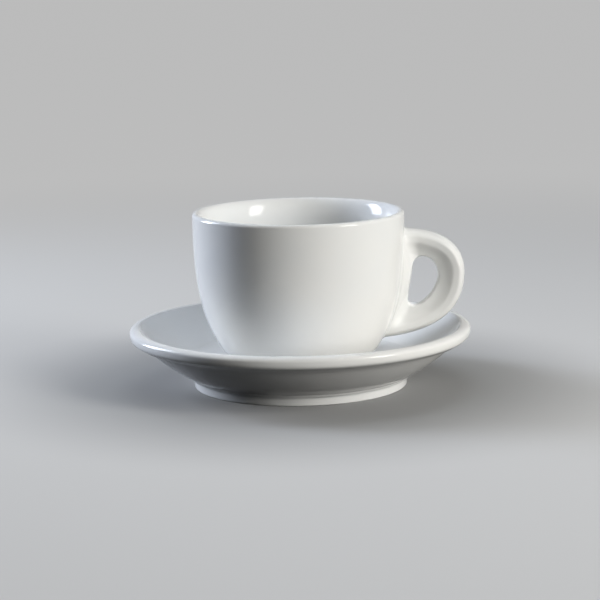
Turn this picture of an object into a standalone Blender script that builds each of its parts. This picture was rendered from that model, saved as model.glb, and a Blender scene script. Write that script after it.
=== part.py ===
"""Cappuccino cup with saucer, in white glazed porcelain.

The saucer is pressed in one piece with its foot ring. The bowl of the cup is turned, and its own foot
ring stands in a shallow recess of the saucer, so the cup lifts straight off. The handle is cast by
itself and luted to the bowl with a thin layer of slip.

Metres, +Z up. The saucer stands on z = 0 with its axis on the z axis. The handle points along +X.
The cup's pieces are drawn from the underside of the cup's foot ring, which their parent empty lifts
onto the saucer.
"""
import math

import bmesh
import bpy
import numpy as np

# Fits between pieces
CLEARANCE = 0.0003
SLIP_THICKNESS = 0.0004
RECESS_PLAY = 0.0012

# Saucer, upper side: a flat well inside a slope
SAUCER_RADIUS = 0.0725
SAUCER_HEIGHT = 0.0259
SLOPE_WIDTH = 0.0167
SLOPE_HOLLOW = 0.0003
WELL_HEIGHT = 0.0116
WELL_BLEND = 0.0016
RECESS_DEPTH = 0.0006

# Saucer, rolled edge: a bead above a shallow groove, curling under to a fine undercut
BEAD_INSET = 0.0032
BEAD_DROP = 0.0020
BEAD_INNER_WIDTH = 0.0025
BEAD_INNER_HEIGHT = 0.0025
BEAD_INNER_LEAN = 0.0016
GROOVE_BLEND = 0.0024
CURL_WIDTH = 0.0061
CURL_HEIGHT = 0.0047
CURL_END_PULL = 0.0026
CURL_END_SLOPE = math.radians(38)
UNDERCUT_WIDTH = 0.0022
UNDERCUT_DEPTH = 0.0014

# Saucer, underside: a full cone that runs down to a foot ring with a narrow step around its top
CONE_BULGE = 0.0010
BAND_WIDTH = 0.0005
BAND_HEIGHT = 0.0010
STEP_WIDTH = 0.0014
STEP_RISE = 0.0002
FOOT_INSET = 0.0047
FOOT_HEIGHT = 0.0038
FOOT_ROUND = 0.0006
FOOT_WIDTH = 0.0055
SAUCER_FLOOR = 0.0052
UNDERSIDE_BLEND = 0.0020

# Cup bowl, outside
CUP_HEIGHT = 0.0631
BOWL_RADIUS = 0.0449
BOWL_BASE_RADIUS = 0.0332
BOWL_BASE_HEIGHT = 0.0048
BOWL_BASE_ANGLE = math.radians(33.1)

# Cup bowl, lip and inside
LIP_WIDTH = 0.0054
LIP_OUTER_WIDTH = 0.0015
LIP_OUTER_HEIGHT = 0.0015
LIP_INNER_HEIGHT = 0.0092
CUP_FLOOR = 0.0058
FLOOR_FLAT_INSET = 0.0154
FLOOR_SPREAD = 0.0004

# Cup foot ring, set in under the bowl's base
LEDGE_DROP = 0.0007
LEDGE_WIDTH = 0.0027
CUP_FOOT_WIDTH = 0.0035
CUP_FOOT_RECESS = 0.0024
CUP_FOOT_ROUND = 0.0006

# Handle outline: its top edge, its furthest point above mid-height, and its heel
HANDLE_REACH = 0.0254
HANDLE_TOP_DROP = 0.0082
HANDLE_REACH_LIFT = 0.0045
HANDLE_HEEL_LIFT = 0.0082
HEEL_RISE = 0.0013

# Finger hole, set in from the handle's outline and from the bowl
TOP_ARM = 0.0121
OUTER_ARM = 0.0114
LOWER_ARM = 0.0127
ROOT_BAND = 0.0045
HOLE_CORNER = 0.0033
HOLE_WIDEST_LIFT = 0.0024

# Handle section: a thick rounded rim, a bevel into a dished web, and a root that flares out along the bowl
RIM_THICKNESS = 0.0120
HEEL_THICKNESS = 0.0102
WEB_THICKNESS = 0.0047
RIM_ROUND = 0.0026
BEVEL_START = 0.0024
BEVEL_WIDTH = 0.0091
BEVEL_SHARE = 0.54
DISH_START = 0.0050
DISH_WIDTH = 0.0076
HOLE_EDGE_ROUND = 0.0010
FLARE_REACH = 0.0062
ROOT_WIDTH_TOP = 0.0126
ROOT_WIDTH_MIDDLE = 0.0188
ROOT_WIDTH_HEEL = 0.0098
ROOT_BURY = 0.0040

# Fullness of the curves: how far along its span each one keeps the direction it starts with
CURL_FULLNESS = 0.750
BOWL_SIDE_FULLNESS = 0.422
BOWL_BASE_FULLNESS = 0.333
INSIDE_FULLNESS = 0.700
TOP_FULLNESS = 0.664
SHOULDER_FULLNESS = 0.561
ELBOW_FULLNESS = 0.777
HEEL_FULLNESS = 0.415
HOLE_SIDE_FULLNESS = 0.472
HOLE_FOOT_FULLNESS = 0.333

# Facets
TURN_STEPS = 64
ARC_STEPS = 4
BLEND_STEPS = 3
SLOPE_STEPS = 3
WALL_STEPS = 11
HANDLE_STATIONS = 48
HANDLE_ACROSS = 9
OUTLINE_STEPS = 40
CREASE_ANGLE = math.radians(40)
MERGE_DISTANCE = 0.000001

# Finish
GLAZE_COLOUR = (0.86, 0.86, 0.84)
GLAZE_ROUGHNESS = 0.08
SLIP_COLOUR = (0.80, 0.79, 0.76)
SLIP_ROUGHNESS = 0.60

# Places that follow from the sizes
GROOVE_RADIUS = SAUCER_RADIUS - BEAD_INSET - BEAD_INNER_WIDTH
WELL_RADIUS = GROOVE_RADIUS - SLOPE_WIDTH
FOOT_RADIUS = WELL_RADIUS - FOOT_INSET
LEDGE_RADIUS = BOWL_BASE_RADIUS - math.tan(BOWL_BASE_ANGLE) * LEDGE_DROP
CUP_FOOT_RADIUS = LEDGE_RADIUS - LEDGE_WIDTH
SEAT_HEIGHT = WELL_HEIGHT - RECESS_DEPTH
CUP_REST_HEIGHT = SEAT_HEIGHT + CLEARANCE
SIDE_TOP = CUP_HEIGHT - LIP_OUTER_HEIGHT
INSIDE_TOP = CUP_HEIGHT - LIP_INNER_HEIGHT


def bezier(start, pull_out, pull_in, end, steps):
    """Points of a cubic curve, both ends included."""
    corners = (start, pull_out, pull_in, end)
    points = []
    for i in range(steps + 1):
        t = i / steps
        weights = ((1 - t) ** 3, 3 * t * (1 - t) ** 2, 3 * t * t * (1 - t), t ** 3)
        points.append(tuple(sum(w * c[k] for w, c in zip(weights, corners)) for k in (0, 1)))
    return points


def quarter(start, corner, end, steps):
    """Points of an elliptical arc that leaves start towards corner and arrives at end from it."""
    points = []
    for i in range(steps + 1):
        turn = math.pi / 2 * i / steps
        to_start = 1 - math.sin(turn)
        to_end = 1 - math.cos(turn)
        points.append(tuple(c + (s - c) * to_start + (e - c) * to_end for s, c, e in zip(start, corner, end)))
    return points


def towards(point, target, distance):
    """The point that lies distance from point on the way to target."""
    share = distance / math.dist(point, target)
    return tuple(p + (t - p) * share for p, t in zip(point, target))


def between(start, end, steps):
    """Points of a straight line, without its ends."""
    return [towards(start, end, math.dist(start, end) * i / steps) for i in range(1, steps)]


def blended(before, corner, after, size, steps):
    """A corner rounded off over size on both of its sides."""
    return quarter(towards(corner, before, size), corner, towards(corner, after, size), steps)


def bowed(start, end, bulge, steps):
    """Points of a line that bows to the right of its direction by bulge, without its ends."""
    length = math.dist(start, end)
    right = ((end[1] - start[1]) / length, (start[0] - end[0]) / length)
    points = []
    for i in range(1, steps):
        t = i / steps
        push = bulge * 4 * t * (1 - t)
        points.append(tuple(s + (e - s) * t + r * push for s, e, r in zip(start, end, right)))
    return points


def smoothstep(value):
    share = np.clip(value, 0.0, 1.0)
    return share * share * (3 - 2 * share)


def saucer_profile():
    """From the middle of the seat over the rolled edge to the middle of the underside."""
    recess_radius = CUP_FOOT_RADIUS + RECESS_PLAY
    recess_edge = (recess_radius + RECESS_DEPTH, WELL_HEIGHT)
    well_edge = (WELL_RADIUS, WELL_HEIGHT)
    groove = (GROOVE_RADIUS, SAUCER_HEIGHT - BEAD_INNER_HEIGHT)
    bead_corner = (GROOVE_RADIUS + BEAD_INNER_LEAN, SAUCER_HEIGHT)
    bead_top = (SAUCER_RADIUS - BEAD_INSET, SAUCER_HEIGHT)
    widest = (SAUCER_RADIUS, SAUCER_HEIGHT - BEAD_DROP)
    crease = (SAUCER_RADIUS - CURL_WIDTH, widest[1] - CURL_HEIGHT)
    curl_end = (crease[0] + UNDERCUT_WIDTH, crease[1])
    foot_top = (FOOT_RADIUS, FOOT_HEIGHT)
    step_edge = (FOOT_RADIUS + STEP_WIDTH, FOOT_HEIGHT + STEP_RISE)
    cone_end = (step_edge[0] + BAND_WIDTH, step_edge[1] + BAND_HEIGHT)
    foot_side = (FOOT_RADIUS, FOOT_ROUND)
    foot_outer = (FOOT_RADIUS - FOOT_ROUND, 0.0)
    foot_inner = (FOOT_RADIUS - FOOT_WIDTH, 0.0)
    underside = (foot_inner[0] - UNDERSIDE_BLEND, SEAT_HEIGHT - SAUCER_FLOOR)
    undercut = towards(crease, cone_end, -UNDERCUT_DEPTH)
    slope = bowed(well_edge, groove, SLOPE_HOLLOW, SLOPE_STEPS)
    cone = bowed(cone_end, undercut, CONE_BULGE, 2 * SLOPE_STEPS)
    curl = bezier(
        widest,
        (SAUCER_RADIUS, widest[1] - CURL_HEIGHT * CURL_FULLNESS),
        (curl_end[0] + CURL_END_PULL, curl_end[1] + math.tan(CURL_END_SLOPE) * CURL_END_PULL),
        curl_end,
        ARC_STEPS + 2,
    )

    points = [(0.0, SEAT_HEIGHT), (recess_radius, SEAT_HEIGHT), recess_edge]
    points += blended(recess_edge, well_edge, slope[0], WELL_BLEND, BLEND_STEPS)
    points += slope
    points += blended(slope[-1], groove, bead_corner, GROOVE_BLEND, BLEND_STEPS)
    points += quarter(points[-1], bead_corner, bead_top, ARC_STEPS)[1:]
    points += quarter(bead_top, (SAUCER_RADIUS, SAUCER_HEIGHT), widest, ARC_STEPS)[1:]
    points += curl[1:]
    points += [undercut] + cone[::-1] + [cone_end, step_edge, foot_top]
    points += quarter(foot_side, (FOOT_RADIUS, 0.0), foot_outer, BLEND_STEPS)
    points += [foot_inner]
    points += quarter(foot_inner, (foot_inner[0], underside[1]), underside, BLEND_STEPS)[1:]
    points += [(0.0, underside[1])]
    return points


def bowl_side():
    """Outer side of the bowl, from under the lip down to the base."""
    span = SIDE_TOP - BOWL_BASE_HEIGHT
    base_pull = span * BOWL_BASE_FULLNESS
    lean = (math.sin(BOWL_BASE_ANGLE) * base_pull, math.cos(BOWL_BASE_ANGLE) * base_pull)
    return bezier(
        (BOWL_RADIUS, SIDE_TOP),
        (BOWL_RADIUS, SIDE_TOP - span * BOWL_SIDE_FULLNESS),
        (BOWL_BASE_RADIUS + lean[0], BOWL_BASE_HEIGHT + lean[1]),
        (BOWL_BASE_RADIUS, BOWL_BASE_HEIGHT),
        WALL_STEPS,
    )


def bowl_side_grown(gap):
    """The bowl's outer side moved outwards by gap."""
    side = np.array(bowl_side())
    along = np.gradient(side, axis=0)
    along /= np.linalg.norm(along, axis=1)[:, None]
    outward = np.column_stack([-along[:, 1], along[:, 0]])
    return [tuple(point) for point in side + outward * gap]


def bowl_radius_at(height):
    side = np.array(bowl_side())[::-1]
    return np.interp(height, side[:, 1], side[:, 0])


def cup_profile():
    """From the middle of the cup's floor over the lip to the middle of its underside."""
    floor = CUP_FOOT_RECESS + CUP_FLOOR
    inner_radius = BOWL_RADIUS - LIP_WIDTH
    lip_top = (BOWL_RADIUS - LIP_OUTER_WIDTH, CUP_HEIGHT)
    ledge_height = BOWL_BASE_HEIGHT - LEDGE_DROP
    foot_inner_radius = CUP_FOOT_RADIUS - CUP_FOOT_WIDTH
    side = bowl_side()
    inside = bezier(
        (CUP_FOOT_RADIUS - FLOOR_FLAT_INSET, floor),
        (BOWL_BASE_RADIUS + FLOOR_SPREAD, floor),
        (inner_radius, INSIDE_TOP - (INSIDE_TOP - floor) * INSIDE_FULLNESS),
        (inner_radius, INSIDE_TOP),
        WALL_STEPS - 1,
    )

    points = [(0.0, floor)] + inside
    points += quarter(inside[-1], (inner_radius, CUP_HEIGHT), lip_top, ARC_STEPS + 2)[1:]
    points += quarter(lip_top, (BOWL_RADIUS, CUP_HEIGHT), side[0], ARC_STEPS - 1)[1:]
    points += side[1:] + [(LEDGE_RADIUS, ledge_height), (CUP_FOOT_RADIUS, ledge_height)]
    points += [(CUP_FOOT_RADIUS, CUP_FOOT_ROUND), (CUP_FOOT_RADIUS - CUP_FOOT_ROUND, 0.0)]
    points += [(foot_inner_radius + CUP_FOOT_ROUND, 0.0), (foot_inner_radius, CUP_FOOT_ROUND)]
    points += [(foot_inner_radius, CUP_FOOT_RECESS), (0.0, CUP_FOOT_RECESS)]
    return points


def handle_corners():
    """The handle's top edge and heel where they meet the bowl, and its furthest point."""
    top = CUP_HEIGHT - HANDLE_TOP_DROP
    heel = HANDLE_HEEL_LIFT
    reach = (BOWL_RADIUS + HANDLE_REACH, (top + heel) / 2 + HANDLE_REACH_LIFT)
    return (float(bowl_radius_at(top)), top), reach, (float(bowl_radius_at(heel)), heel)


def handle_outline():
    """Closed outer outline in the x-z plane; its bowl side runs inside the bowl's wall."""
    top, reach, heel = handle_corners()
    upper = bezier(
        top,
        (top[0] + (reach[0] - top[0]) * TOP_FULLNESS, top[1]),
        (reach[0], reach[1] + (top[1] - reach[1]) * SHOULDER_FULLNESS),
        reach,
        OUTLINE_STEPS,
    )
    lower = bezier(
        reach,
        (reach[0], reach[1] - (reach[1] - heel[1]) * ELBOW_FULLNESS),
        (heel[0] + (reach[0] - heel[0]) * HEEL_FULLNESS, heel[1] + HEEL_RISE),
        heel,
        OUTLINE_STEPS,
    )
    heights = np.linspace(heel[1], top[1], OUTLINE_STEPS)
    buried = [(float(bowl_radius_at(height)) - ROOT_BURY, height) for height in heights]
    return upper + lower[1:] + buried


def hole_outline():
    """Closed outline of the finger hole: straight along the bowl and round on its outer side."""
    top, reach, heel = handle_corners()
    hole_top = top[1] - TOP_ARM
    hole_foot = heel[1] + HEEL_RISE + LOWER_ARM
    widest = (reach[0] - OUTER_ARM, (hole_top + hole_foot) / 2 + HOLE_WIDEST_LIFT)
    top_left = (float(bowl_radius_at(hole_top)) + ROOT_BAND, hole_top)
    foot_left = (float(bowl_radius_at(hole_foot)) + ROOT_BAND, hole_foot)
    top_point = (top_left[0] + HOLE_CORNER, hole_top)
    foot_point = (foot_left[0] + HOLE_CORNER, hole_foot)
    side_foot = towards(foot_left, top_left, HOLE_CORNER)
    side_top = towards(top_left, foot_left, HOLE_CORNER)
    outer_foot = bezier(
        widest,
        (widest[0], widest[1] - (widest[1] - hole_foot) * HOLE_SIDE_FULLNESS),
        (foot_point[0] + (widest[0] - foot_point[0]) * HOLE_FOOT_FULLNESS, hole_foot),
        foot_point,
        OUTLINE_STEPS,
    )
    points = quarter(top_point, (widest[0], hole_top), widest, OUTLINE_STEPS)
    points += outer_foot[1:]
    points += quarter(foot_point, foot_left, side_foot, OUTLINE_STEPS)[1:]
    points += between(side_foot, side_top, OUTLINE_STEPS)
    points += quarter(side_top, top_left, top_point, OUTLINE_STEPS)[:-1]
    return points


def radii_around(outline, centre, angles):
    """Distance of an outline from centre in each direction."""
    offsets = np.array(outline) - np.array(centre)
    directions = np.arctan2(offsets[:, 1], offsets[:, 0])
    return np.interp(angles, directions, np.hypot(offsets[:, 0], offsets[:, 1]), period=2 * math.pi)


def root_width(rise):
    """Width of the root along the bowl, from its heel at rise 0 through its middle to its top at 1."""
    pull = 2 * ROOT_WIDTH_MIDDLE - (ROOT_WIDTH_TOP + ROOT_WIDTH_HEEL) / 2
    fall = 1 - rise
    return ROOT_WIDTH_HEEL * fall ** 2 + 2 * pull * rise * fall + ROOT_WIDTH_TOP * rise ** 2


def edge_rounding(depth, size):
    """Share of the full thickness that a round edge leaves at a depth in from it."""
    return np.sqrt(1 - np.clip(1 - depth / size, 0.0, 1.0) ** 2)


def half_thickness(to_edge, to_hole, x, height):
    """Half of the handle's thickness at a point of the x-z plane."""
    top, reach, heel = handle_corners()
    rim_share = smoothstep((height - heel[1]) / (reach[1] - heel[1]))
    rim = HEEL_THICKNESS + (RIM_THICKNESS - HEEL_THICKNESS) * rim_share
    bevel = np.clip((to_edge - BEVEL_START) / BEVEL_WIDTH, 0.0, 1.0)
    dish = smoothstep(1 - np.clip(1 - (to_edge - DISH_START) / DISH_WIDTH, 0.0, 1.0) ** 2)
    arm = rim + (WEB_THICKNESS - rim) * (BEVEL_SHARE * bevel + (1 - BEVEL_SHARE) * dish)
    root = root_width(np.clip((height - heel[1]) / (top[1] - heel[1]), 0.0, 1.0))
    flare = np.clip(1 - (x - bowl_radius_at(height)) / FLARE_REACH, 0.0, 1.0) ** 2
    body = arm + (root - arm) * flare
    return body / 2 * edge_rounding(to_edge, RIM_ROUND) * edge_rounding(to_hole, HOLE_EDGE_ROUND)


def handle_loft():
    """Vertices and faces of the whole handle, as sections set around the finger hole."""
    hole = hole_outline()
    centre = np.mean([np.min(hole, axis=0), np.max(hole, axis=0)], axis=0)
    angles = np.linspace(0, 2 * math.pi, HANDLE_STATIONS, endpoint=False)
    inner = radii_around(hole, centre, angles)
    outer = radii_around(handle_outline(), centre, angles)
    across = (1 - np.cos(np.linspace(0, math.pi, HANDLE_ACROSS + 1))) / 2
    vertices = []
    for angle, near, far in zip(angles, inner, outer):
        radius = near + (far - near) * across
        x = centre[0] + radius * math.cos(angle)
        z = centre[1] + radius * math.sin(angle)
        y = half_thickness(far - radius, radius - near, x, z)
        vertices += [(x[i], -y[i], z[i]) for i in range(HANDLE_ACROSS + 1)]
        vertices += [(x[i], y[i], z[i]) for i in range(HANDLE_ACROSS - 1, 0, -1)]
    around = 2 * HANDLE_ACROSS
    faces = []
    for station in range(HANDLE_STATIONS):
        here = station * around
        there = (station + 1) % HANDLE_STATIONS * around
        for i in range(around):
            j = (i + 1) % around
            faces.append((here + i, here + j, there + j, there + i))
    return vertices, faces


def bowl_block(gap):
    """Closed profile of all that lies within gap of the bowl's outer side."""
    side = bowl_side_grown(gap)
    return [(0.0, side[0][1])] + side + [(0.0, side[-1][1])]


def slip_ring():
    """Closed profile of a thin shell around the bowl, where the slip lies."""
    inner = bowl_side_grown(CLEARANCE)
    outer = bowl_side_grown(CLEARANCE + SLIP_THICKNESS)
    return outer + inner[::-1] + outer[:1]


def clear_scene():
    for obj in list(bpy.data.objects):
        bpy.data.objects.remove(obj, do_unlink=True)


def new_collection(name):
    collection = bpy.data.collections.new(name)
    bpy.context.scene.collection.children.link(collection)
    return collection


def porcelain(name, colour, roughness):
    material = bpy.data.materials.new(name)
    material.use_nodes = True
    shader = material.node_tree.nodes["Principled BSDF"]
    shader.inputs["Base Color"].default_value = (*colour, 1.0)
    shader.inputs["Roughness"].default_value = roughness
    shader.inputs["Metallic"].default_value = 0.0
    return material


def glaze(name):
    return porcelain(name, GLAZE_COLOUR, GLAZE_ROUGHNESS)


def add_object(name, vertices, edges, faces, collection):
    mesh = bpy.data.meshes.new(name)
    mesh.from_pydata(vertices, edges, faces)
    obj = bpy.data.objects.new(name, mesh)
    collection.objects.link(obj)
    return obj


def add_turned(name, profile, collection):
    """A profile of radius and height pairs turned about the z axis."""
    vertices = [(radius, 0.0, height) for radius, height in profile]
    edges = [(i, i + 1) for i in range(len(profile) - 1)]
    obj = add_object(name, vertices, edges, [], collection)
    screw = obj.modifiers.new("turn", "SCREW")
    screw.steps = TURN_STEPS
    screw.render_steps = TURN_STEPS
    screw.use_merge_vertices = True
    screw.merge_threshold = MERGE_DISTANCE
    screw.use_smooth_shade = True
    return obj


def add_cutter(name, profile, collection):
    obj = add_turned(name, profile, collection)
    obj.hide_render = True
    obj.display_type = "WIRE"
    return obj


def add_handle(name, collection):
    """The whole handle with its root still reaching into the bowl's wall."""
    vertices, faces = handle_loft()
    obj = add_object(name, vertices, [], faces, collection)
    shape = bmesh.new()
    shape.from_mesh(obj.data)
    bmesh.ops.recalc_face_normals(shape, faces=shape.faces)
    shape.to_mesh(obj.data)
    shape.free()
    obj.data.shade_smooth()
    obj.data.set_sharp_from_angle(angle=CREASE_ANGLE)
    return obj


def boolean(obj, operation, other):
    modifier = obj.modifiers.new(operation.lower(), "BOOLEAN")
    modifier.operation = operation
    modifier.object = other
    modifier.solver = "EXACT"


def main():
    clear_scene()
    parts = new_collection("cappuccino_cup_with_saucer")
    cutters = new_collection("cutters")

    saucer = add_turned("saucer", saucer_profile(), parts)
    saucer.data.materials.append(glaze("saucer_glaze"))

    cup_lift_axis = bpy.data.objects.new("cup_lift_axis", None)
    cup_lift_axis.location = (0.0, 0.0, CUP_REST_HEIGHT)
    parts.objects.link(cup_lift_axis)

    cup_body = add_turned("cup_body", cup_profile(), parts)
    cup_body.data.materials.append(glaze("cup_glaze"))

    bowl_clear = add_cutter("bowl_clear", bowl_block(2 * CLEARANCE + SLIP_THICKNESS), cutters)
    cup_handle = add_handle("cup_handle", parts)
    cup_handle.data.materials.append(glaze("handle_glaze"))
    boolean(cup_handle, "DIFFERENCE", bowl_clear)

    slip_shell = add_cutter("slip_shell", slip_ring(), cutters)
    handle_slip = add_handle("handle_slip", parts)
    handle_slip.data.materials.append(porcelain("slip_biscuit", SLIP_COLOUR, SLIP_ROUGHNESS))
    boolean(handle_slip, "INTERSECT", slip_shell)

    for obj in (cup_body, bowl_clear, cup_handle, slip_shell, handle_slip):
        obj.parent = cup_lift_axis


main()
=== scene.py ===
"""Looks of a white porcelain cappuccino cup on its saucer: fine surfaces, glaze, studio light and camera.

Metres, +Z up, in the frame of the solid model, whose boxes give the main places. The cup's pieces are
drawn from the underside of the cup's foot ring and lifted onto the saucer.
"""
import math

import bpy
import numpy as np
from mathutils import Matrix, Vector


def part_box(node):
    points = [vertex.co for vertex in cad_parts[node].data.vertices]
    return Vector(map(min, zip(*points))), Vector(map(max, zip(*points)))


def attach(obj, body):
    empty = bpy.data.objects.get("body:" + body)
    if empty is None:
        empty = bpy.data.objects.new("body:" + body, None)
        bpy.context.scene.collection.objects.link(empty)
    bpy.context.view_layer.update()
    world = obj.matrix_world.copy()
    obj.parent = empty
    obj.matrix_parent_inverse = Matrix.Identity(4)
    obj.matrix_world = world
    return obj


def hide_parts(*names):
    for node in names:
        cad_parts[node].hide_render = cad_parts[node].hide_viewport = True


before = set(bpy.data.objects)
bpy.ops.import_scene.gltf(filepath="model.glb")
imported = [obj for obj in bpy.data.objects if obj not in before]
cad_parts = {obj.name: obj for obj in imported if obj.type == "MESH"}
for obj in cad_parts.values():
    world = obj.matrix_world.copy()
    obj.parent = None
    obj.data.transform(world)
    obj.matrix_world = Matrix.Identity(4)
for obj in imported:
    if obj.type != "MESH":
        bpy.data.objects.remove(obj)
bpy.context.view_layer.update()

# Main places, from the solid model
SAUCER_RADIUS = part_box("saucer")[1].x
SAUCER_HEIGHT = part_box("saucer")[1].z
CUP_REST_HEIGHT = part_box("cup_body")[0].z
CUP_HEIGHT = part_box("cup_body")[1].z - CUP_REST_HEIGHT
BOWL_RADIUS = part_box("cup_body")[1].x
HANDLE_REACH_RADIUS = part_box("cup_handle")[1].x

# Saucer, upper side: a flat well inside a slope
SLOPE_WIDTH = 0.0167
SLOPE_HOLLOW = 0.0003
WELL_HEIGHT = 0.0116
WELL_BLEND = 0.0022
RECESS_DEPTH = 0.0006
RECESS_PLAY = 0.0012

# Saucer, rolled edge: a bead above a shallow groove, curling under to a fine undercut
BEAD_INSET = 0.0032
BEAD_DROP = 0.0020
BEAD_INNER_WIDTH = 0.0025
BEAD_INNER_HEIGHT = 0.0025
BEAD_INNER_LEAN = 0.0016
GROOVE_BLEND = 0.0024
CURL_WIDTH = 0.0061
CURL_HEIGHT = 0.0047
CURL_END_PULL = 0.0026
CURL_END_SLOPE = math.radians(38.0)
UNDERCUT_WIDTH = 0.0022
UNDERCUT_DEPTH = 0.0014
UNDERCUT_BLEND = 0.00015

# Saucer, underside: a full cone that runs down to a foot ring with a narrow step around its top
CONE_BULGE = 0.0010
NOTCH_BLEND = 0.00012
BAND_WIDTH = 0.0005
BAND_HEIGHT = 0.0010
STEP_WIDTH = 0.0014
STEP_RISE = 0.0002
STEP_BLEND = 0.00015
FOOT_INSET = 0.0047
FOOT_HEIGHT = 0.0038
FOOT_ROUND = 0.0006
FOOT_WIDTH = 0.0055
SAUCER_FLOOR = 0.0052
UNDERSIDE_BLEND = 0.0020

# Cup bowl: its outside, lip and inside
BOWL_BASE_RADIUS = 0.0332
BOWL_BASE_HEIGHT = 0.0048
BOWL_BASE_ANGLE = math.radians(33.1)
LIP_WIDTH = 0.0054
LIP_OUTER_WIDTH = 0.0015
LIP_OUTER_HEIGHT = 0.0015
LIP_INNER_HEIGHT = 0.0092
CUP_FLOOR = 0.0058
FLOOR_FLAT_INSET = 0.0154
FLOOR_SPREAD = 0.0004

# Cup foot ring, set in under the bowl's base
LEDGE_DROP = 0.0007
LEDGE_WIDTH = 0.0027
LEDGE_BLEND = 0.0004
CUP_FOOT_WIDTH = 0.0035
CUP_FOOT_RECESS = 0.0024
CUP_FOOT_ROUND = 0.0006

# Handle outline and finger hole
HANDLE_TOP_DROP = 0.0082
HANDLE_REACH_LIFT = 0.0045
HANDLE_HEEL_LIFT = 0.0082
HEEL_RISE = 0.0013
TOP_ARM = 0.0121
OUTER_ARM = 0.0114
LOWER_ARM = 0.0127
ROOT_BAND = 0.0045
HOLE_CORNER = 0.0033
HOLE_WIDEST_LIFT = 0.0024

# Handle section: a thick rounded rim, a bevel into a dished web, and a root that flares out along the bowl
RIM_THICKNESS = 0.0120
HEEL_THICKNESS = 0.0102
WEB_THICKNESS = 0.0047
RIM_ROUND = 0.0031
BEVEL_START = 0.0024
BEVEL_WIDTH = 0.0091
BEVEL_SHARE = 0.54
BEVEL_GROWTH = 1.5
DISH_START = 0.0050
DISH_WIDTH = 0.0076
HOLE_EDGE_ROUND = 0.0010
FLARE_REACH = 0.0062
ROOT_WIDTH_TOP = 0.0126
ROOT_WIDTH_MIDDLE = 0.0188
ROOT_WIDTH_HEEL = 0.0098
ROOT_BURY = 0.0038
ROOT_FILLET = 0.0011

# Fullness of the curves: how far along its span each one keeps the direction it starts with
CURL_FULLNESS = 0.75
BOWL_SIDE_FULLNESS = 0.422
BOWL_BASE_FULLNESS = 0.333
INSIDE_FULLNESS = 0.700
TOP_FULLNESS = 0.664
SHOULDER_FULLNESS = 0.561
ELBOW_FULLNESS = 0.777
HEEL_FULLNESS = 0.415
HOLE_SIDE_FULLNESS = 0.472
HOLE_FOOT_FULLNESS = 0.333

# Fineness of the surfaces
MERGE_DISTANCE = 0.0000001
FILLET_ROUNDS = 40
TURN_STEPS = 256
ARC_STEPS = 14
BLEND_STEPS = 8
SLOPE_STEPS = 16
FLAT_STEPS = 6
WALL_STEPS = 48
HANDLE_STATIONS = 240
HANDLE_ACROSS = 56
OUTLINE_STEPS = 300

# What the kiln leaves: the cup's lip a little out of round, the saucer's edge a little out of level
LIP_OUT_OF_ROUND = 0.00010
LIP_TURN = 2.1
EDGE_OUT_OF_LEVEL = 0.00012
EDGE_TURN = 0.8

# Places that follow from the sizes
GROOVE_RADIUS = SAUCER_RADIUS - BEAD_INSET - BEAD_INNER_WIDTH
WELL_RADIUS = GROOVE_RADIUS - SLOPE_WIDTH
FOOT_RADIUS = WELL_RADIUS - FOOT_INSET
LEDGE_RADIUS = BOWL_BASE_RADIUS - math.tan(BOWL_BASE_ANGLE) * LEDGE_DROP
CUP_FOOT_RADIUS = LEDGE_RADIUS - LEDGE_WIDTH
SEAT_HEIGHT = WELL_HEIGHT - RECESS_DEPTH
SIDE_TOP = CUP_HEIGHT - LIP_OUTER_HEIGHT
INSIDE_TOP = CUP_HEIGHT - LIP_INNER_HEIGHT

# Glaze: clear gloss over white porcelain, cooler where it runs together; the darker, cooler tint in
# hollows, creases and at the handle's root is partly pooled glaze and partly painted shade
GLAZE_COOL = (0.80, 0.81, 0.81)
GLAZE_WARM = (0.84, 0.835, 0.82)
CLOUD_SCALE = 22.0
POOL_AND_SHADE_COLOUR = (0.70, 0.735, 0.745)
POOL_AND_SHADE_STRENGTH = 0.35
POOL_AND_SHADE_SPREAD = 0.0008
POOL_AND_SHADE_START = 0.5
ROOT_POOL_AND_SHADE = 0.6
SPECK_COLOUR = (0.52, 0.48, 0.42)
SPECK_STRENGTH = 0.10
SPECK_SCALE = 110.0
SPECK_CORE = 0.01
SPECK_EDGE = 0.03
SHEEN_SCALE = 60.0
SHEEN_LOW = 0.07
SHEEN_HIGH = 0.11
RIPPLE_SCALE = 75.0
RIPPLE_HEIGHT = 0.00006
GLAZE_IOR = 1.44
GLAZE_SPECULAR = 0.30

# Biscuit: bare fired porcelain under the foot rings
BISCUIT_DARK = (0.74, 0.73, 0.69)
BISCUIT_PALE = (0.80, 0.79, 0.76)
GRAIN_SCALE = 2500.0
GRAIN_HEIGHT = 0.00004
GRAIN_LOW = 0.55
GRAIN_HIGH = 0.75
SCUFF_COLOUR = (0.55, 0.54, 0.52)
SCUFF_STRENGTH = 0.6
SCUFF_SCALE = 180.0
SCUFF_START = 0.52
SCUFF_FULL = 0.72
BARE_HEIGHT = 0.00004
BARE_FACING = -0.9

# Span that noise mostly stays within
NOISE_LOW = 0.3
NOISE_HIGH = 0.7

# Floor: pale paper with a glow of its own, dimmed under the saucer into a painted shadow, and in place of
# the lamps' light far away
FLOOR_SIZE = 16.0
FLOOR_ROUGHNESS = 0.9
FLOOR_BOUNCE = (0.04, 0.04, 0.04)
FLOOR_SEEN = (0.32, 0.32, 0.32)
FLOOR_FAR = (0.03, 0.03, 0.03)
# Painted shadow under the saucer: the glow drops to this, and rises again between the two edges below.
PAINTED_SHADOW_GLOW = (0.03, 0.03, 0.03)
FLOOR_GLOW = (0.29, 0.29, 0.29)
FAR_GLOW = (0.50, 0.50, 0.50)
PAINTED_SHADOW_EDGE = 0.055
PAINTED_SHADOW_END = 0.16
AWAY_START = 0.25
AWAY_FULL = 0.80

# Backdrop: as the camera sees it, and the little light that it gives
BACKDROP_SEEN = (0.50, 0.50, 0.50)
BACKDROP_LIGHT = (0.010, 0.010, 0.010)

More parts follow.
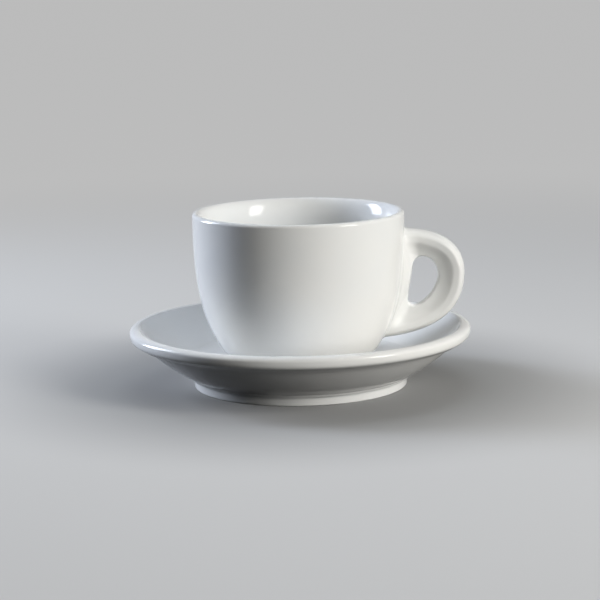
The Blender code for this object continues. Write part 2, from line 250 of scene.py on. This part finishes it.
# Camera of the photograph: its focal length in pixels of a picture 600 wide, and where it stands
PICTURE_WIDTH = 600
FOCAL_PIXELS = 2115.0
SENSOR_WIDTH = 36.0
CAMERA_DISTANCE = 0.9
CAMERA_ELEVATION = math.radians(10.1)
CAMERA_ROLL = math.radians(-0.99)
CAMERA_TARGET = Vector((0.0002, 0.0, 0.03602))


def bezier(start, pull_out, pull_in, end, steps):
    """Points of a cubic curve, both ends included."""
    t = np.linspace(0.0, 1.0, steps + 1)[:, None]
    corners = [np.array(corner, float) for corner in (start, pull_out, pull_in, end)]
    weights = ((1 - t) ** 3, 3 * t * (1 - t) ** 2, 3 * t * t * (1 - t), t ** 3)
    return sum(weight * corner for weight, corner in zip(weights, corners))


def quarter(start, corner, end, steps):
    """Points of an elliptical arc that leaves start towards corner and arrives at end from it."""
    turn = np.linspace(0.0, math.pi / 2, steps + 1)[:, None]
    start, corner, end = (np.array(point, float) for point in (start, corner, end))
    return corner + (start - corner) * (1 - np.sin(turn)) + (end - corner) * (1 - np.cos(turn))


def straight(start, end, steps):
    """Points of a straight line, both ends included."""
    t = np.linspace(0.0, 1.0, steps + 1)[:, None]
    return np.array(start, float) * (1 - t) + np.array(end, float) * t


def bowed(start, end, bulge, steps):
    """Points of a line that bows to the right of its direction by bulge, both ends included."""
    line = straight(start, end, steps)
    along = (line[-1] - line[0]) / np.linalg.norm(line[-1] - line[0])
    t = np.linspace(0.0, 1.0, steps + 1)[:, None]
    return line + np.array([along[1], -along[0]]) * bulge * 4 * t * (1 - t)


def towards(point, target, distance):
    """The point that lies distance from point on the way to target."""
    point, target = np.array(point, float), np.array(target, float)
    return point + (target - point) * distance / np.linalg.norm(target - point)


def blended(before, corner, after, size):
    """A corner rounded off over size on both of its sides."""
    return quarter(towards(corner, before, size), corner, towards(corner, after, size), BLEND_STEPS)


def clear_of(points, corner, size):
    """The points that lie further than size from a corner that gets rounded."""
    return points[np.linalg.norm(points - np.array(corner, float), axis=1) > size]


def joined(*stretches):
    """One line through all stretches, with doubled points left out."""
    points = np.vstack([np.atleast_2d(stretch) for stretch in stretches])
    steps = np.linalg.norm(np.diff(points, axis=0), axis=1)
    return points[np.concatenate([[True], steps > MERGE_DISTANCE])]


def smoothstep(value):
    """A soft rise from 0 to 1, flat at both ends."""
    share = np.clip(value, 0.0, 1.0)
    return share * share * (3 - 2 * share)


def saucer_profile():
    """From the middle of the seat over the rolled edge to the middle of the underside."""
    recess_foot = (CUP_FOOT_RADIUS + RECESS_PLAY, SEAT_HEIGHT)
    recess_edge = (recess_foot[0] + RECESS_DEPTH, WELL_HEIGHT)
    well_edge = (WELL_RADIUS, WELL_HEIGHT)
    groove = (GROOVE_RADIUS, SAUCER_HEIGHT - BEAD_INNER_HEIGHT)
    bead_corner = (GROOVE_RADIUS + BEAD_INNER_LEAN, SAUCER_HEIGHT)
    bead_top = (SAUCER_RADIUS - BEAD_INSET, SAUCER_HEIGHT)
    widest = (SAUCER_RADIUS, SAUCER_HEIGHT - BEAD_DROP)
    crease = (SAUCER_RADIUS - CURL_WIDTH, widest[1] - CURL_HEIGHT)
    curl_end = (crease[0] + UNDERCUT_WIDTH, crease[1])
    foot_top = (FOOT_RADIUS, FOOT_HEIGHT)
    foot_side = (FOOT_RADIUS, FOOT_ROUND)
    step_edge = (FOOT_RADIUS + STEP_WIDTH, FOOT_HEIGHT + STEP_RISE)
    cone_end = (step_edge[0] + BAND_WIDTH, step_edge[1] + BAND_HEIGHT)
    undercut = towards(crease, cone_end, -UNDERCUT_DEPTH)
    foot_outer = (FOOT_RADIUS - FOOT_ROUND, 0.0)
    foot_inner = (FOOT_RADIUS - FOOT_WIDTH, 0.0)
    underside = (foot_inner[0] - UNDERSIDE_BLEND, SEAT_HEIGHT - SAUCER_FLOOR)
    half_edge = RECESS_DEPTH / 2
    middle = (0.0, SEAT_HEIGHT)
    well_inner = towards(recess_edge, well_edge, half_edge)
    well_outer = towards(well_edge, recess_edge, WELL_BLEND)

    slope = clear_of(bowed(well_edge, groove, SLOPE_HOLLOW, SLOPE_STEPS), well_edge, WELL_BLEND)
    slope = clear_of(slope, groove, GROOVE_BLEND)
    groove_round = blended(slope[-1], groove, bead_corner, GROOVE_BLEND)
    curl = bezier(
        widest,
        (SAUCER_RADIUS, widest[1] - CURL_HEIGHT * CURL_FULLNESS),
        (curl_end[0] + CURL_END_PULL, curl_end[1] + math.tan(CURL_END_SLOPE) * CURL_END_PULL),
        curl_end,
        2 * ARC_STEPS,
    )
    curl = clear_of(curl, curl_end, UNDERCUT_BLEND)
    cone = bowed(cone_end, undercut, CONE_BULGE, 2 * SLOPE_STEPS)[::-1]
    cone = clear_of(clear_of(cone, undercut, UNDERCUT_BLEND), cone_end, NOTCH_BLEND)
    return joined(
        straight(middle, towards(recess_foot, middle, half_edge), FLAT_STEPS),
        blended(middle, recess_foot, recess_edge, half_edge),
        blended(recess_foot, recess_edge, well_edge, half_edge),
        straight(well_inner, well_outer, FLAT_STEPS),
        blended(recess_edge, well_edge, slope[0], WELL_BLEND),
        slope,
        groove_round,
        quarter(groove_round[-1], bead_corner, bead_top, ARC_STEPS),
        quarter(bead_top, (SAUCER_RADIUS, SAUCER_HEIGHT), widest, ARC_STEPS),
        curl,
        blended(curl[-1], curl_end, undercut, UNDERCUT_BLEND),
        blended(curl_end, undercut, cone[0], UNDERCUT_BLEND),
        cone,
        blended(cone[-1], cone_end, step_edge, NOTCH_BLEND),
        blended(cone_end, step_edge, foot_top, STEP_BLEND),
        blended(step_edge, foot_top, foot_side, STEP_BLEND),
        straight(towards(foot_top, foot_side, STEP_BLEND), foot_side, FLAT_STEPS),
        quarter(foot_side, (FOOT_RADIUS, 0.0), foot_outer, ARC_STEPS),
        straight(foot_outer, foot_inner, FLAT_STEPS),
        quarter(foot_inner, (foot_inner[0], underside[1]), underside, ARC_STEPS),
        straight(underside, (0.0, underside[1]), FLAT_STEPS),
    )


def bowl_side(steps):
    """Outer side of the bowl, from under the lip down to the base."""
    span = SIDE_TOP - BOWL_BASE_HEIGHT
    base_pull = span * BOWL_BASE_FULLNESS
    lean = (math.sin(BOWL_BASE_ANGLE) * base_pull, math.cos(BOWL_BASE_ANGLE) * base_pull)
    return bezier(
        (BOWL_RADIUS, SIDE_TOP),
        (BOWL_RADIUS, SIDE_TOP - span * BOWL_SIDE_FULLNESS),
        (BOWL_BASE_RADIUS + lean[0], BOWL_BASE_HEIGHT + lean[1]),
        (BOWL_BASE_RADIUS, BOWL_BASE_HEIGHT),
        steps,
    )


BOWL_SIDE = bowl_side(OUTLINE_STEPS)[::-1]


def bowl_radius_at(height):
    """Radius of the bowl's outer side at a height."""
    return np.interp(height, BOWL_SIDE[:, 1], BOWL_SIDE[:, 0])


def off_the_bowl(points):
    """Distance of points from the bowl's outer side, positive outside."""
    lean = np.gradient(BOWL_SIDE[:, 0], BOWL_SIDE[:, 1])
    level = 1 / np.sqrt(1 + np.interp(points[:, 2], BOWL_SIDE[:, 1], lean) ** 2)
    return (np.hypot(points[:, 0], points[:, 1]) - bowl_radius_at(points[:, 2])) * level


def cup_profile():
    """From the middle of the cup's floor over the lip to the middle of its underside."""
    floor = CUP_FOOT_RECESS + CUP_FLOOR
    inner_radius = BOWL_RADIUS - LIP_WIDTH
    lip_top = (BOWL_RADIUS - LIP_OUTER_WIDTH, CUP_HEIGHT)
    flat_edge = (CUP_FOOT_RADIUS - FLOOR_FLAT_INSET, floor)
    ledge_height = BOWL_BASE_HEIGHT - LEDGE_DROP
    ledge = (LEDGE_RADIUS, ledge_height)
    foot_top = (CUP_FOOT_RADIUS, ledge_height)
    foot_corner = (CUP_FOOT_RADIUS, 0.0)
    foot_inner_radius = CUP_FOOT_RADIUS - CUP_FOOT_WIDTH
    inner_corner = (foot_inner_radius, 0.0)
    recess_corner = (foot_inner_radius, CUP_FOOT_RECESS)
    middle = (0.0, CUP_FOOT_RECESS)

    side = bowl_side(WALL_STEPS)
    inside = bezier(
        flat_edge,
        (BOWL_BASE_RADIUS + FLOOR_SPREAD, floor),
        (inner_radius, INSIDE_TOP - (INSIDE_TOP - floor) * INSIDE_FULLNESS),
        (inner_radius, INSIDE_TOP),
        WALL_STEPS,
    )
    return joined(
        straight((0.0, floor), flat_edge, FLAT_STEPS),
        inside,
        quarter(inside[-1], (inner_radius, CUP_HEIGHT), lip_top, 2 * ARC_STEPS),
        quarter(lip_top, (BOWL_RADIUS, CUP_HEIGHT), side[0], ARC_STEPS),
        side[:-1],
        blended(side[-2], ledge, foot_top, LEDGE_BLEND),
        blended(ledge, foot_top, foot_corner, LEDGE_BLEND),
        blended(foot_top, foot_corner, inner_corner, CUP_FOOT_ROUND),
        blended(foot_corner, inner_corner, recess_corner, CUP_FOOT_ROUND),
        blended(inner_corner, recess_corner, middle, CUP_FOOT_ROUND),
        straight(towards(recess_corner, middle, 2 * CUP_FOOT_ROUND), middle, FLAT_STEPS),
    )


def handle_corners():
    """The handle's top edge and heel where they meet the bowl, and its furthest point."""
    top = CUP_HEIGHT - HANDLE_TOP_DROP
    heel = HANDLE_HEEL_LIFT
    reach = (HANDLE_REACH_RADIUS, (top + heel) / 2 + HANDLE_REACH_LIFT)
    return (float(bowl_radius_at(top)), top), reach, (float(bowl_radius_at(heel)), heel)


def handle_outline():
    """Closed outer outline in the x-z plane; its bowl side runs inside the bowl's wall."""
    top, reach, heel = handle_corners()
    upper = bezier(
        top,
        (top[0] + (reach[0] - top[0]) * TOP_FULLNESS, top[1]),
        (reach[0], reach[1] + (top[1] - reach[1]) * SHOULDER_FULLNESS),
        reach,
        OUTLINE_STEPS,
    )
    lower = bezier(
        reach,
        (reach[0], reach[1] - (reach[1] - heel[1]) * ELBOW_FULLNESS),
        (heel[0] + (reach[0] - heel[0]) * HEEL_FULLNESS, heel[1] + HEEL_RISE),
        heel,
        OUTLINE_STEPS,
    )
    heights = np.linspace(heel[1], top[1], OUTLINE_STEPS)
    buried = np.column_stack([bowl_radius_at(heights) - ROOT_BURY, heights])
    return joined(upper, lower, buried)


def hole_outline():
    """Closed outline of the finger hole: straight along the bowl and round on its outer side."""
    top, reach, heel = handle_corners()
    hole_top = top[1] - TOP_ARM
    hole_foot = heel[1] + HEEL_RISE + LOWER_ARM
    widest = (reach[0] - OUTER_ARM, (hole_top + hole_foot) / 2 + HOLE_WIDEST_LIFT)
    top_left = (float(bowl_radius_at(hole_top)) + ROOT_BAND, hole_top)
    foot_left = (float(bowl_radius_at(hole_foot)) + ROOT_BAND, hole_foot)
    top_point = (top_left[0] + HOLE_CORNER, hole_top)
    foot_point = (foot_left[0] + HOLE_CORNER, hole_foot)
    side_foot = towards(foot_left, top_left, HOLE_CORNER)
    side_top = towards(top_left, foot_left, HOLE_CORNER)
    outer_foot = bezier(
        widest,
        (widest[0], widest[1] - (widest[1] - hole_foot) * HOLE_SIDE_FULLNESS),
        (foot_point[0] + (widest[0] - foot_point[0]) * HOLE_FOOT_FULLNESS, hole_foot),
        foot_point,
        OUTLINE_STEPS,
    )
    return joined(
        quarter(top_point, (widest[0], hole_top), widest, OUTLINE_STEPS),
        outer_foot,
        quarter(foot_point, foot_left, side_foot, OUTLINE_STEPS),
        straight(side_foot, side_top, OUTLINE_STEPS),
        quarter(side_top, top_left, top_point, OUTLINE_STEPS)[:-1],
    )


def radii_around(outline, centre, angles):
    """Distance of an outline from centre in each direction."""
    offsets = outline - centre
    directions = np.arctan2(offsets[:, 1], offsets[:, 0])
    return np.interp(angles, directions, np.hypot(offsets[:, 0], offsets[:, 1]), period=2 * math.pi)


def root_width(rise):
    """Width of the root along the bowl, from its heel at rise 0 through its middle to its top at 1."""
    pull = 2 * ROOT_WIDTH_MIDDLE - (ROOT_WIDTH_TOP + ROOT_WIDTH_HEEL) / 2
    fall = 1 - rise
    return ROOT_WIDTH_HEEL * fall ** 2 + 2 * pull * rise * fall + ROOT_WIDTH_TOP * rise ** 2


def edge_rounding(depth, size):
    """Share of the full thickness that a round edge leaves at a depth in from it."""
    return np.sqrt(1 - np.clip(1 - depth / size, 0.0, 1.0) ** 2)


def half_thickness(to_edge, to_hole, x, height):
    """Half of the handle's thickness at a point of the x-z plane."""
    top, reach, heel = handle_corners()
    rim_share = smoothstep((height - heel[1]) / (reach[1] - heel[1]))
    rim = HEEL_THICKNESS + (RIM_THICKNESS - HEEL_THICKNESS) * rim_share
    bevel = np.clip((to_edge - BEVEL_START) / BEVEL_WIDTH, 0.0, 1.0) ** BEVEL_GROWTH
    dish = smoothstep(1 - np.clip(1 - (to_edge - DISH_START) / DISH_WIDTH, 0.0, 1.0) ** 2)
    arm = rim + (WEB_THICKNESS - rim) * (BEVEL_SHARE * bevel + (1 - BEVEL_SHARE) * dish)
    root = root_width(np.clip((height - heel[1]) / (top[1] - heel[1]), 0.0, 1.0))
    flare = np.clip(1 - (x - bowl_radius_at(height)) / FLARE_REACH, 0.0, 1.0) ** 2
    body = arm + (root - arm) * flare
    return body / 2 * edge_rounding(to_edge, RIM_ROUND) * edge_rounding(to_hole, HOLE_EDGE_ROUND)


def handle_loft():
    """Vertices and faces of the whole handle, as sections set around the finger hole."""
    hole = hole_outline()
    centre = (hole.min(axis=0) + hole.max(axis=0)) / 2
    angles = np.linspace(0.0, 2 * math.pi, HANDLE_STATIONS, endpoint=False)
    near = radii_around(hole, centre, angles)[:, None]
    far = radii_around(handle_outline(), centre, angles)[:, None]
    across = (1 - np.cos(np.linspace(0.0, math.pi, HANDLE_ACROSS + 1))) / 2
    radius = near + (far - near) * across
    x = centre[0] + radius * np.cos(angles)[:, None]
    z = centre[1] + radius * np.sin(angles)[:, None]
    y = half_thickness(far - radius, radius - near, x, z)
    front = np.stack([x, -y, z], axis=2)
    back = np.stack([x, y, z], axis=2)[:, -2:0:-1]
    vertices = np.concatenate([front, back], axis=1)
    around = vertices.shape[1]
    return vertices.reshape(-1, 3), grid_faces(HANDLE_STATIONS, around, True)


def grid_faces(rows, columns, closed):
    """Quads of a grid whose columns run round; a closed grid's last row joins its first."""
    faces = []
    for row in range(rows if closed else rows - 1):
        here = row * columns
        there = (row + 1) % rows * columns
        for i in range(columns):
            j = (i + 1) % columns
            faces.append((here + i, here + j, there + j, there + i))
    return faces


def root_filleted(vertices, normals):
    """The handle's surface with its corner against the bowl filled to a smooth fillet."""
    def filled(lift):
        clear = off_the_bowl(vertices + normals * lift[:, None])
        overlap = np.maximum(ROOT_FILLET - np.abs(clear - lift), 0.0)
        return np.minimum(clear, lift) - overlap ** 2 / (4 * ROOT_FILLET)

    low = np.zeros(len(vertices))
    high = np.full(len(vertices), ROOT_FILLET)
    for _ in range(FILLET_ROUNDS):
        middle = (low + high) / 2
        outside = filled(middle) > 0
        high = np.where(outside, middle, high)
        low = np.where(outside, low, middle)
    depth = -off_the_bowl(vertices)
    fade = 1 - smoothstep(depth / ROOT_FILLET - 1)
    return vertices + normals * (low * fade)[:, None]


def new_mesh(name, vertices, faces):
    mesh = bpy.data.meshes.new(name)
    mesh.from_pydata(vertices.tolist(), [], faces)
    mesh.validate()
    mesh.shade_smooth()
    obj = bpy.data.objects.new(name, mesh)
    bpy.context.scene.collection.objects.link(obj)
    return obj


def add_float(mesh, name, values):
    mesh.attributes.new(name, "FLOAT", "POINT").data.foreach_set("value", np.asarray(values, np.float32))


def pool_and_shade_of_hollows(profile):
    """How far each point of a profile lies in a hollow, where glaze runs together and shade is painted in:
    0 to 1.
    """
    along = np.diff(profile, axis=0)
    heading = np.unwrap(np.arctan2(along[:, 1], along[:, 0]))
    turn = np.concatenate([[0.0], np.maximum(np.diff(heading), 0.0), [0.0]])
    travel = np.concatenate([[0.0], np.cumsum(np.linalg.norm(along, axis=1))])
    spread = np.exp(-(((travel[:, None] - travel[None]) / POOL_AND_SHADE_SPREAD) ** 2))
    return np.clip((spread @ turn - POOL_AND_SHADE_START) / (1 - POOL_AND_SHADE_START), 0.0, 1.0)


def turned(name, profile, lift):
    """A profile turned about the z axis; lift moves each point a little by its radius, height and angle."""
    ring = profile[1:-1]
    angles = np.linspace(0.0, 2 * math.pi, TURN_STEPS, endpoint=False)[None]
    radius, height = lift(ring[:, :1], ring[:, 1:], angles)
    rings = np.stack([radius * np.cos(angles), radius * np.sin(angles), height + 0 * angles], axis=2)
    first = [0.0, 0.0, profile[0][1]]
    last = [0.0, 0.0, profile[-1][1]]
    vertices = np.vstack([rings.reshape(-1, 3), first, last])
    count = len(ring) * TURN_STEPS
    faces = [face[::-1] for face in grid_faces(len(ring), TURN_STEPS, False)]
    for i in range(TURN_STEPS):
        j = (i + 1) % TURN_STEPS
        faces.append((count, i, j))
        end = count - TURN_STEPS
        faces.append((count + 1, end + j, end + i))
    obj = new_mesh(name, vertices, faces)
    # Mask for the darker, cooler tint in hollows: pooled glaze and painted shade.
    pool_and_shade = np.repeat(pool_and_shade_of_hollows(profile)[1:-1], TURN_STEPS)
    add_float(obj.data, "pool_and_painted_shade", np.concatenate([pool_and_shade, [0.0, 0.0]]))
    return obj


def saucer_lift(radius, height, angle):
    """Lets the saucer's edge sink a little on two sides."""
    share = smoothstep((radius - WELL_RADIUS) / (SAUCER_RADIUS - WELL_RADIUS))
    warp = EDGE_OUT_OF_LEVEL * share * (np.cos(2 * angle + EDGE_TURN) - 1) / 2
    return radius + 0 * angle, height + warp


def cup_lift(radius, height, angle):
    """Squeezes the cup's lip a little out of round."""
    share = smoothstep(height / CUP_HEIGHT)
    squeeze = LIP_OUT_OF_ROUND * share * (np.cos(2 * angle + LIP_TURN) - 1) / 2
    return radius + squeeze, height


def bare_ring(obj, height, material):
    """Gives the faces that stand on a foot ring's flat underside the bare material."""
    obj.data.materials.append(material)
    for face in obj.data.polygons:
        if abs(face.center.z - height) < BARE_HEIGHT and face.normal.z < BARE_FACING:
            face.material_index = len(obj.data.materials) - 1


def node(tree, kind, **values):
    """A new node, with values for its sockets or its settings."""
    made = tree.nodes.new(kind)
    for name, value in values.items():
        if name in made.inputs:
            made.inputs[name].default_value = value
        else:
            setattr(made, name, value)
    return made


def noise(tree, place, scale, detail):
    """A cloudy pattern, finer with more detail."""
    made = node(tree, "ShaderNodeTexNoise", Scale=scale, Detail=detail)
    tree.links.new(place, made.inputs["Vector"])
    return made.outputs["Fac"]


def ranged(tree, value, low, high, to_low=0.0, to_high=1.0):
    """A value's span from low to high, stretched to another span."""
    made = node(tree, "ShaderNodeMapRange")
    for name, number in (("From Min", low), ("From Max", high), ("To Min", to_low), ("To Max", to_high)):
        made.inputs[name].default_value = number
    tree.links.new(value, made.inputs["Value"])
    return made.outputs["Result"]


def mixed(tree, share, first, second):
    """A colour between two others, each of them fixed or taken from a socket."""
    made = tree.nodes.new("ShaderNodeMix")
    made.data_type = "RGBA"
    tree.links.new(share, made.inputs[0])
    for socket, colour in ((made.inputs[6], first), (made.inputs[7], second)):
        if isinstance(colour, tuple):
            socket.default_value = (*colour, 1.0)
        else:
            tree.links.new(colour, socket)
    return made.outputs[2]


def new_material(name):
    material = bpy.data.materials.new(name)
    material.use_nodes = True
    tree = material.node_tree
    place = tree.nodes.new("ShaderNodeTexCoord").outputs["Object"]
    return material, tree, tree.nodes["Principled BSDF"], place


def bumped(tree, shader, height, distance):
    """Gives a shader fine relief, distance high."""
    made = node(tree, "ShaderNodeBump", Strength=1.0, Distance=distance)
    tree.links.new(height, made.inputs["Height"])
    tree.links.new(made.outputs["Normal"], shader.inputs["Normal"])


def glaze(name):
    """Clear gloss glaze on white porcelain: cloudy in tone, thicker and cooler where it runs together, with
    painted shade darkening the same hollows and creases.
    """
    material, tree, shader, place = new_material(name)
    clouds = ranged(tree, noise(tree, place, CLOUD_SCALE, detail=3.0), NOISE_LOW, NOISE_HIGH)
    body = mixed(tree, clouds, GLAZE_COOL, GLAZE_WARM)
    # Painted shade in hollows and creases, together with the cooler tint of pooled glaze.
    pool_and_shade = node(tree, "ShaderNodeAttribute", attribute_name="pool_and_painted_shade").outputs["Fac"]
    pooled_and_shaded = mixed(tree, ranged(tree, pool_and_shade, 0.0, 1.0, to_high=POOL_AND_SHADE_STRENGTH), body, POOL_AND_SHADE_COLOUR)
    specks = node(tree, "ShaderNodeTexVoronoi", Scale=SPECK_SCALE)
    tree.links.new(place, specks.inputs["Vector"])
    speck = ranged(tree, specks.outputs["Distance"], SPECK_CORE, SPECK_EDGE, SPECK_STRENGTH, 0.0)
    tree.links.new(mixed(tree, speck, pooled_and_shaded, SPECK_COLOUR), shader.inputs["Base Color"])
    sheen = noise(tree, place, SHEEN_SCALE, detail=2.0)
    roughness = ranged(tree, sheen, NOISE_LOW, NOISE_HIGH, SHEEN_LOW, SHEEN_HIGH)
    tree.links.new(roughness, shader.inputs["Roughness"])
    bumped(tree, shader, noise(tree, place, RIPPLE_SCALE, detail=1.0), RIPPLE_HEIGHT)
    shader.inputs["IOR"].default_value = GLAZE_IOR
    shader.inputs["Specular IOR Level"].default_value = GLAZE_SPECULAR
    return material


def biscuit(name):
    """Bare fired porcelain of a foot ring, fine-grained and scuffed."""
    material, tree, shader, place = new_material(name)
    grain = noise(tree, place, GRAIN_SCALE, detail=2.0)
    bare = mixed(tree, grain, BISCUIT_DARK, BISCUIT_PALE)
    scuffs = noise(tree, place, SCUFF_SCALE, detail=4.0)
    scuffed = ranged(tree, scuffs, SCUFF_START, SCUFF_FULL, to_high=SCUFF_STRENGTH)
    tree.links.new(mixed(tree, scuffed, bare, SCUFF_COLOUR), shader.inputs["Base Color"])
    roughness = ranged(tree, grain, NOISE_LOW, NOISE_HIGH, GRAIN_LOW, GRAIN_HIGH)
    tree.links.new(roughness, shader.inputs["Roughness"])
    bumped(tree, shader, grain, GRAIN_HEIGHT)
    return material


def place_piece(obj, body, nodes):
    """Sets a piece on its body, in place of the solid model's nodes."""
    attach(obj, body)
    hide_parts(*nodes)


def add_saucer():
    saucer = turned("saucer_porcelain", saucer_profile(), saucer_lift)
    saucer.data.materials.append(glaze("saucer_glaze"))
    bare_ring(saucer, 0.0, biscuit("saucer_foot_biscuit"))
    place_piece(saucer, "saucer", ["saucer"])


def add_bowl():
    bowl = turned("cup_bowl_porcelain", cup_profile(), cup_lift)
    bowl.location.z = CUP_REST_HEIGHT
    bowl.data.materials.append(glaze("cup_glaze"))
    bare_ring(bowl, 0.0, biscuit("cup_foot_biscuit"))
    place_piece(bowl, "cup", ["cup_body"])


def add_handle():
    vertices, faces = handle_loft()
    handle = new_mesh("cup_handle_porcelain", vertices, faces)
    normals = np.zeros(len(vertices) * 3, np.float32)
    handle.data.vertex_normals.foreach_get("vector", normals)
    filleted = root_filleted(vertices, normals.reshape(-1, 3))
    handle.data.vertices.foreach_set("co", filleted.astype(np.float32).ravel())
    handle.data.update()
    # Painted shade along the handle's join with the bowl, together with pooled glaze there.
    near_bowl = 1 - np.abs(off_the_bowl(filleted)) / ROOT_FILLET
    add_float(handle.data, "pool_and_painted_shade", ROOT_POOL_AND_SHADE * np.clip(near_bowl, 0.0, 1.0))
    handle.location.z = CUP_REST_HEIGHT
    handle.data.materials.append(glaze("handle_glaze"))
    place_piece(handle, "cup", ["cup_handle", "handle_slip"])


def seen_share(tree):
    """1 for rays from the camera and for those that mirrors and glass pass on, 0 for others."""
    path = tree.nodes.new("ShaderNodeLightPath")
    share = path.outputs["Is Camera Ray"]
    for name in ("Is Glossy Ray", "Is Transmission Ray"):
        larger = node(tree, "ShaderNodeMath", operation="MAXIMUM")
        tree.links.new(share, larger.inputs[0])
        tree.links.new(path.outputs[name], larger.inputs[1])
        share = larger.outputs["Value"]
    return share


def add_floor():
    half = FLOOR_SIZE / 2
    corners = np.array([(-half, -half, 0.0), (half, -half, 0.0), (half, half, 0.0), (-half, half, 0.0)])
    floor = new_mesh("floor", corners, [(0, 1, 2, 3)])
    material, tree, shader, place = new_material("floor_paper")
    share = seen_share(tree)
    tree.links.new(share, shader.inputs["Emission Strength"])
    distance = node(tree, "ShaderNodeVectorMath", operation="LENGTH")
    tree.links.new(place, distance.inputs[0])
    away = ranged(tree, distance.outputs["Value"], AWAY_START, AWAY_FULL)
    away.node.interpolation_type = "SMOOTHSTEP"
    # Painted shadow: the floor's glow drops under the saucer and fades back out around it.
    clear = ranged(tree, distance.outputs["Value"], PAINTED_SHADOW_EDGE, PAINTED_SHADOW_END)
    clear.node.interpolation_type = "SMOOTHSTEP"
    paper = mixed(tree, away, FLOOR_SEEN, FLOOR_FAR)
    tree.links.new(mixed(tree, share, FLOOR_BOUNCE, paper), shader.inputs["Base Color"])
    glow = mixed(tree, clear, PAINTED_SHADOW_GLOW, mixed(tree, away, FLOOR_GLOW, FAR_GLOW))
    tree.links.new(glow, shader.inputs["Emission Color"])
    shader.inputs["Roughness"].default_value = FLOOR_ROUGHNESS
    shader.inputs["Specular IOR Level"].default_value = 0.0
    floor.data.materials.append(material)


def add_world():
    world = bpy.data.worlds.new("studio")
    world.use_nodes = True
    bpy.context.scene.world = world
    tree = world.node_tree
    colour = mixed(tree, seen_share(tree), BACKDROP_LIGHT, BACKDROP_SEEN)
    tree.links.new(colour, tree.nodes["Background"].inputs["Color"])


def add_softbox(name, azimuth, distance, bottom, size, spread, power, colour):
    """A soft box that stands at an azimuth from the camera's side, turned to the object."""
    width, height = size
    angle = math.radians(azimuth)
    centre = Vector((math.sin(angle) * distance, -math.cos(angle) * distance, bottom + height / 2))
    data = bpy.data.lights.new(name, "AREA")
    data.shape = "RECTANGLE"
    data.size = width
    data.size_y = height
    data.spread = math.radians(spread)
    data.energy = power
    data.color = colour
    light = bpy.data.objects.new(name, data)
    light.location = centre
    aim = CAMERA_TARGET - centre
    light.rotation_euler = aim.to_track_quat("-Z", "Y").to_euler()
    light.visible_camera = False
    bpy.context.scene.collection.objects.link(light)


def add_lights():
    add_softbox(
        "key_softbox",
        azimuth=56.0,
        distance=1.00,
        bottom=0.02,
        size=(0.33, 0.74),
        spread=100.0,
        power=3.85,
        colour=(1.0, 0.987, 0.943),
    )
    add_softbox(
        "rim_softbox",
        azimuth=-116.0,
        distance=1.00,
        bottom=0.01,
        size=(0.34, 0.74),
        spread=100.0,
        power=5.0,
        colour=(0.80, 0.87, 1.0),
    )
    add_softbox(
        "top_softbox",
        azimuth=180.0,
        distance=0.48,
        bottom=0.97,
        size=(0.80, 0.60),
        spread=180.0,
        power=3.0,
        colour=(0.85, 0.93, 1.0),
    )
    add_softbox(
        "fill_softbox",
        azimuth=0.0,
        distance=0.90,
        bottom=0.56,
        size=(0.80, 0.48),
        spread=180.0,
        power=0.25,
        colour=(1.0, 0.93, 0.82),
    )


def add_camera():
    data = bpy.data.cameras.new("camera")
    data.sensor_width = SENSOR_WIDTH
    data.lens = FOCAL_PIXELS / PICTURE_WIDTH * SENSOR_WIDTH
    camera = bpy.data.objects.new("camera", data)
    back = Vector((0.0, -math.cos(CAMERA_ELEVATION), math.sin(CAMERA_ELEVATION)))
    right = Vector((1.0, 0.0, 0.0))
    up = back.cross(right)
    tilted_right = right * math.cos(CAMERA_ROLL) + up * math.sin(CAMERA_ROLL)
    tilted_up = up * math.cos(CAMERA_ROLL) - right * math.sin(CAMERA_ROLL)
    turn = Matrix((tilted_right, tilted_up, back)).transposed()
    camera.matrix_world = Matrix.Translation(CAMERA_TARGET + back * CAMERA_DISTANCE) @ turn.to_4x4()
    bpy.context.scene.collection.objects.link(camera)
    bpy.context.scene.camera = camera


add_saucer()
add_bowl()
add_handle()
add_floor()
add_world()
add_lights()
add_camera()
bpy.context.scene.view_settings.view_transform = "Standard"
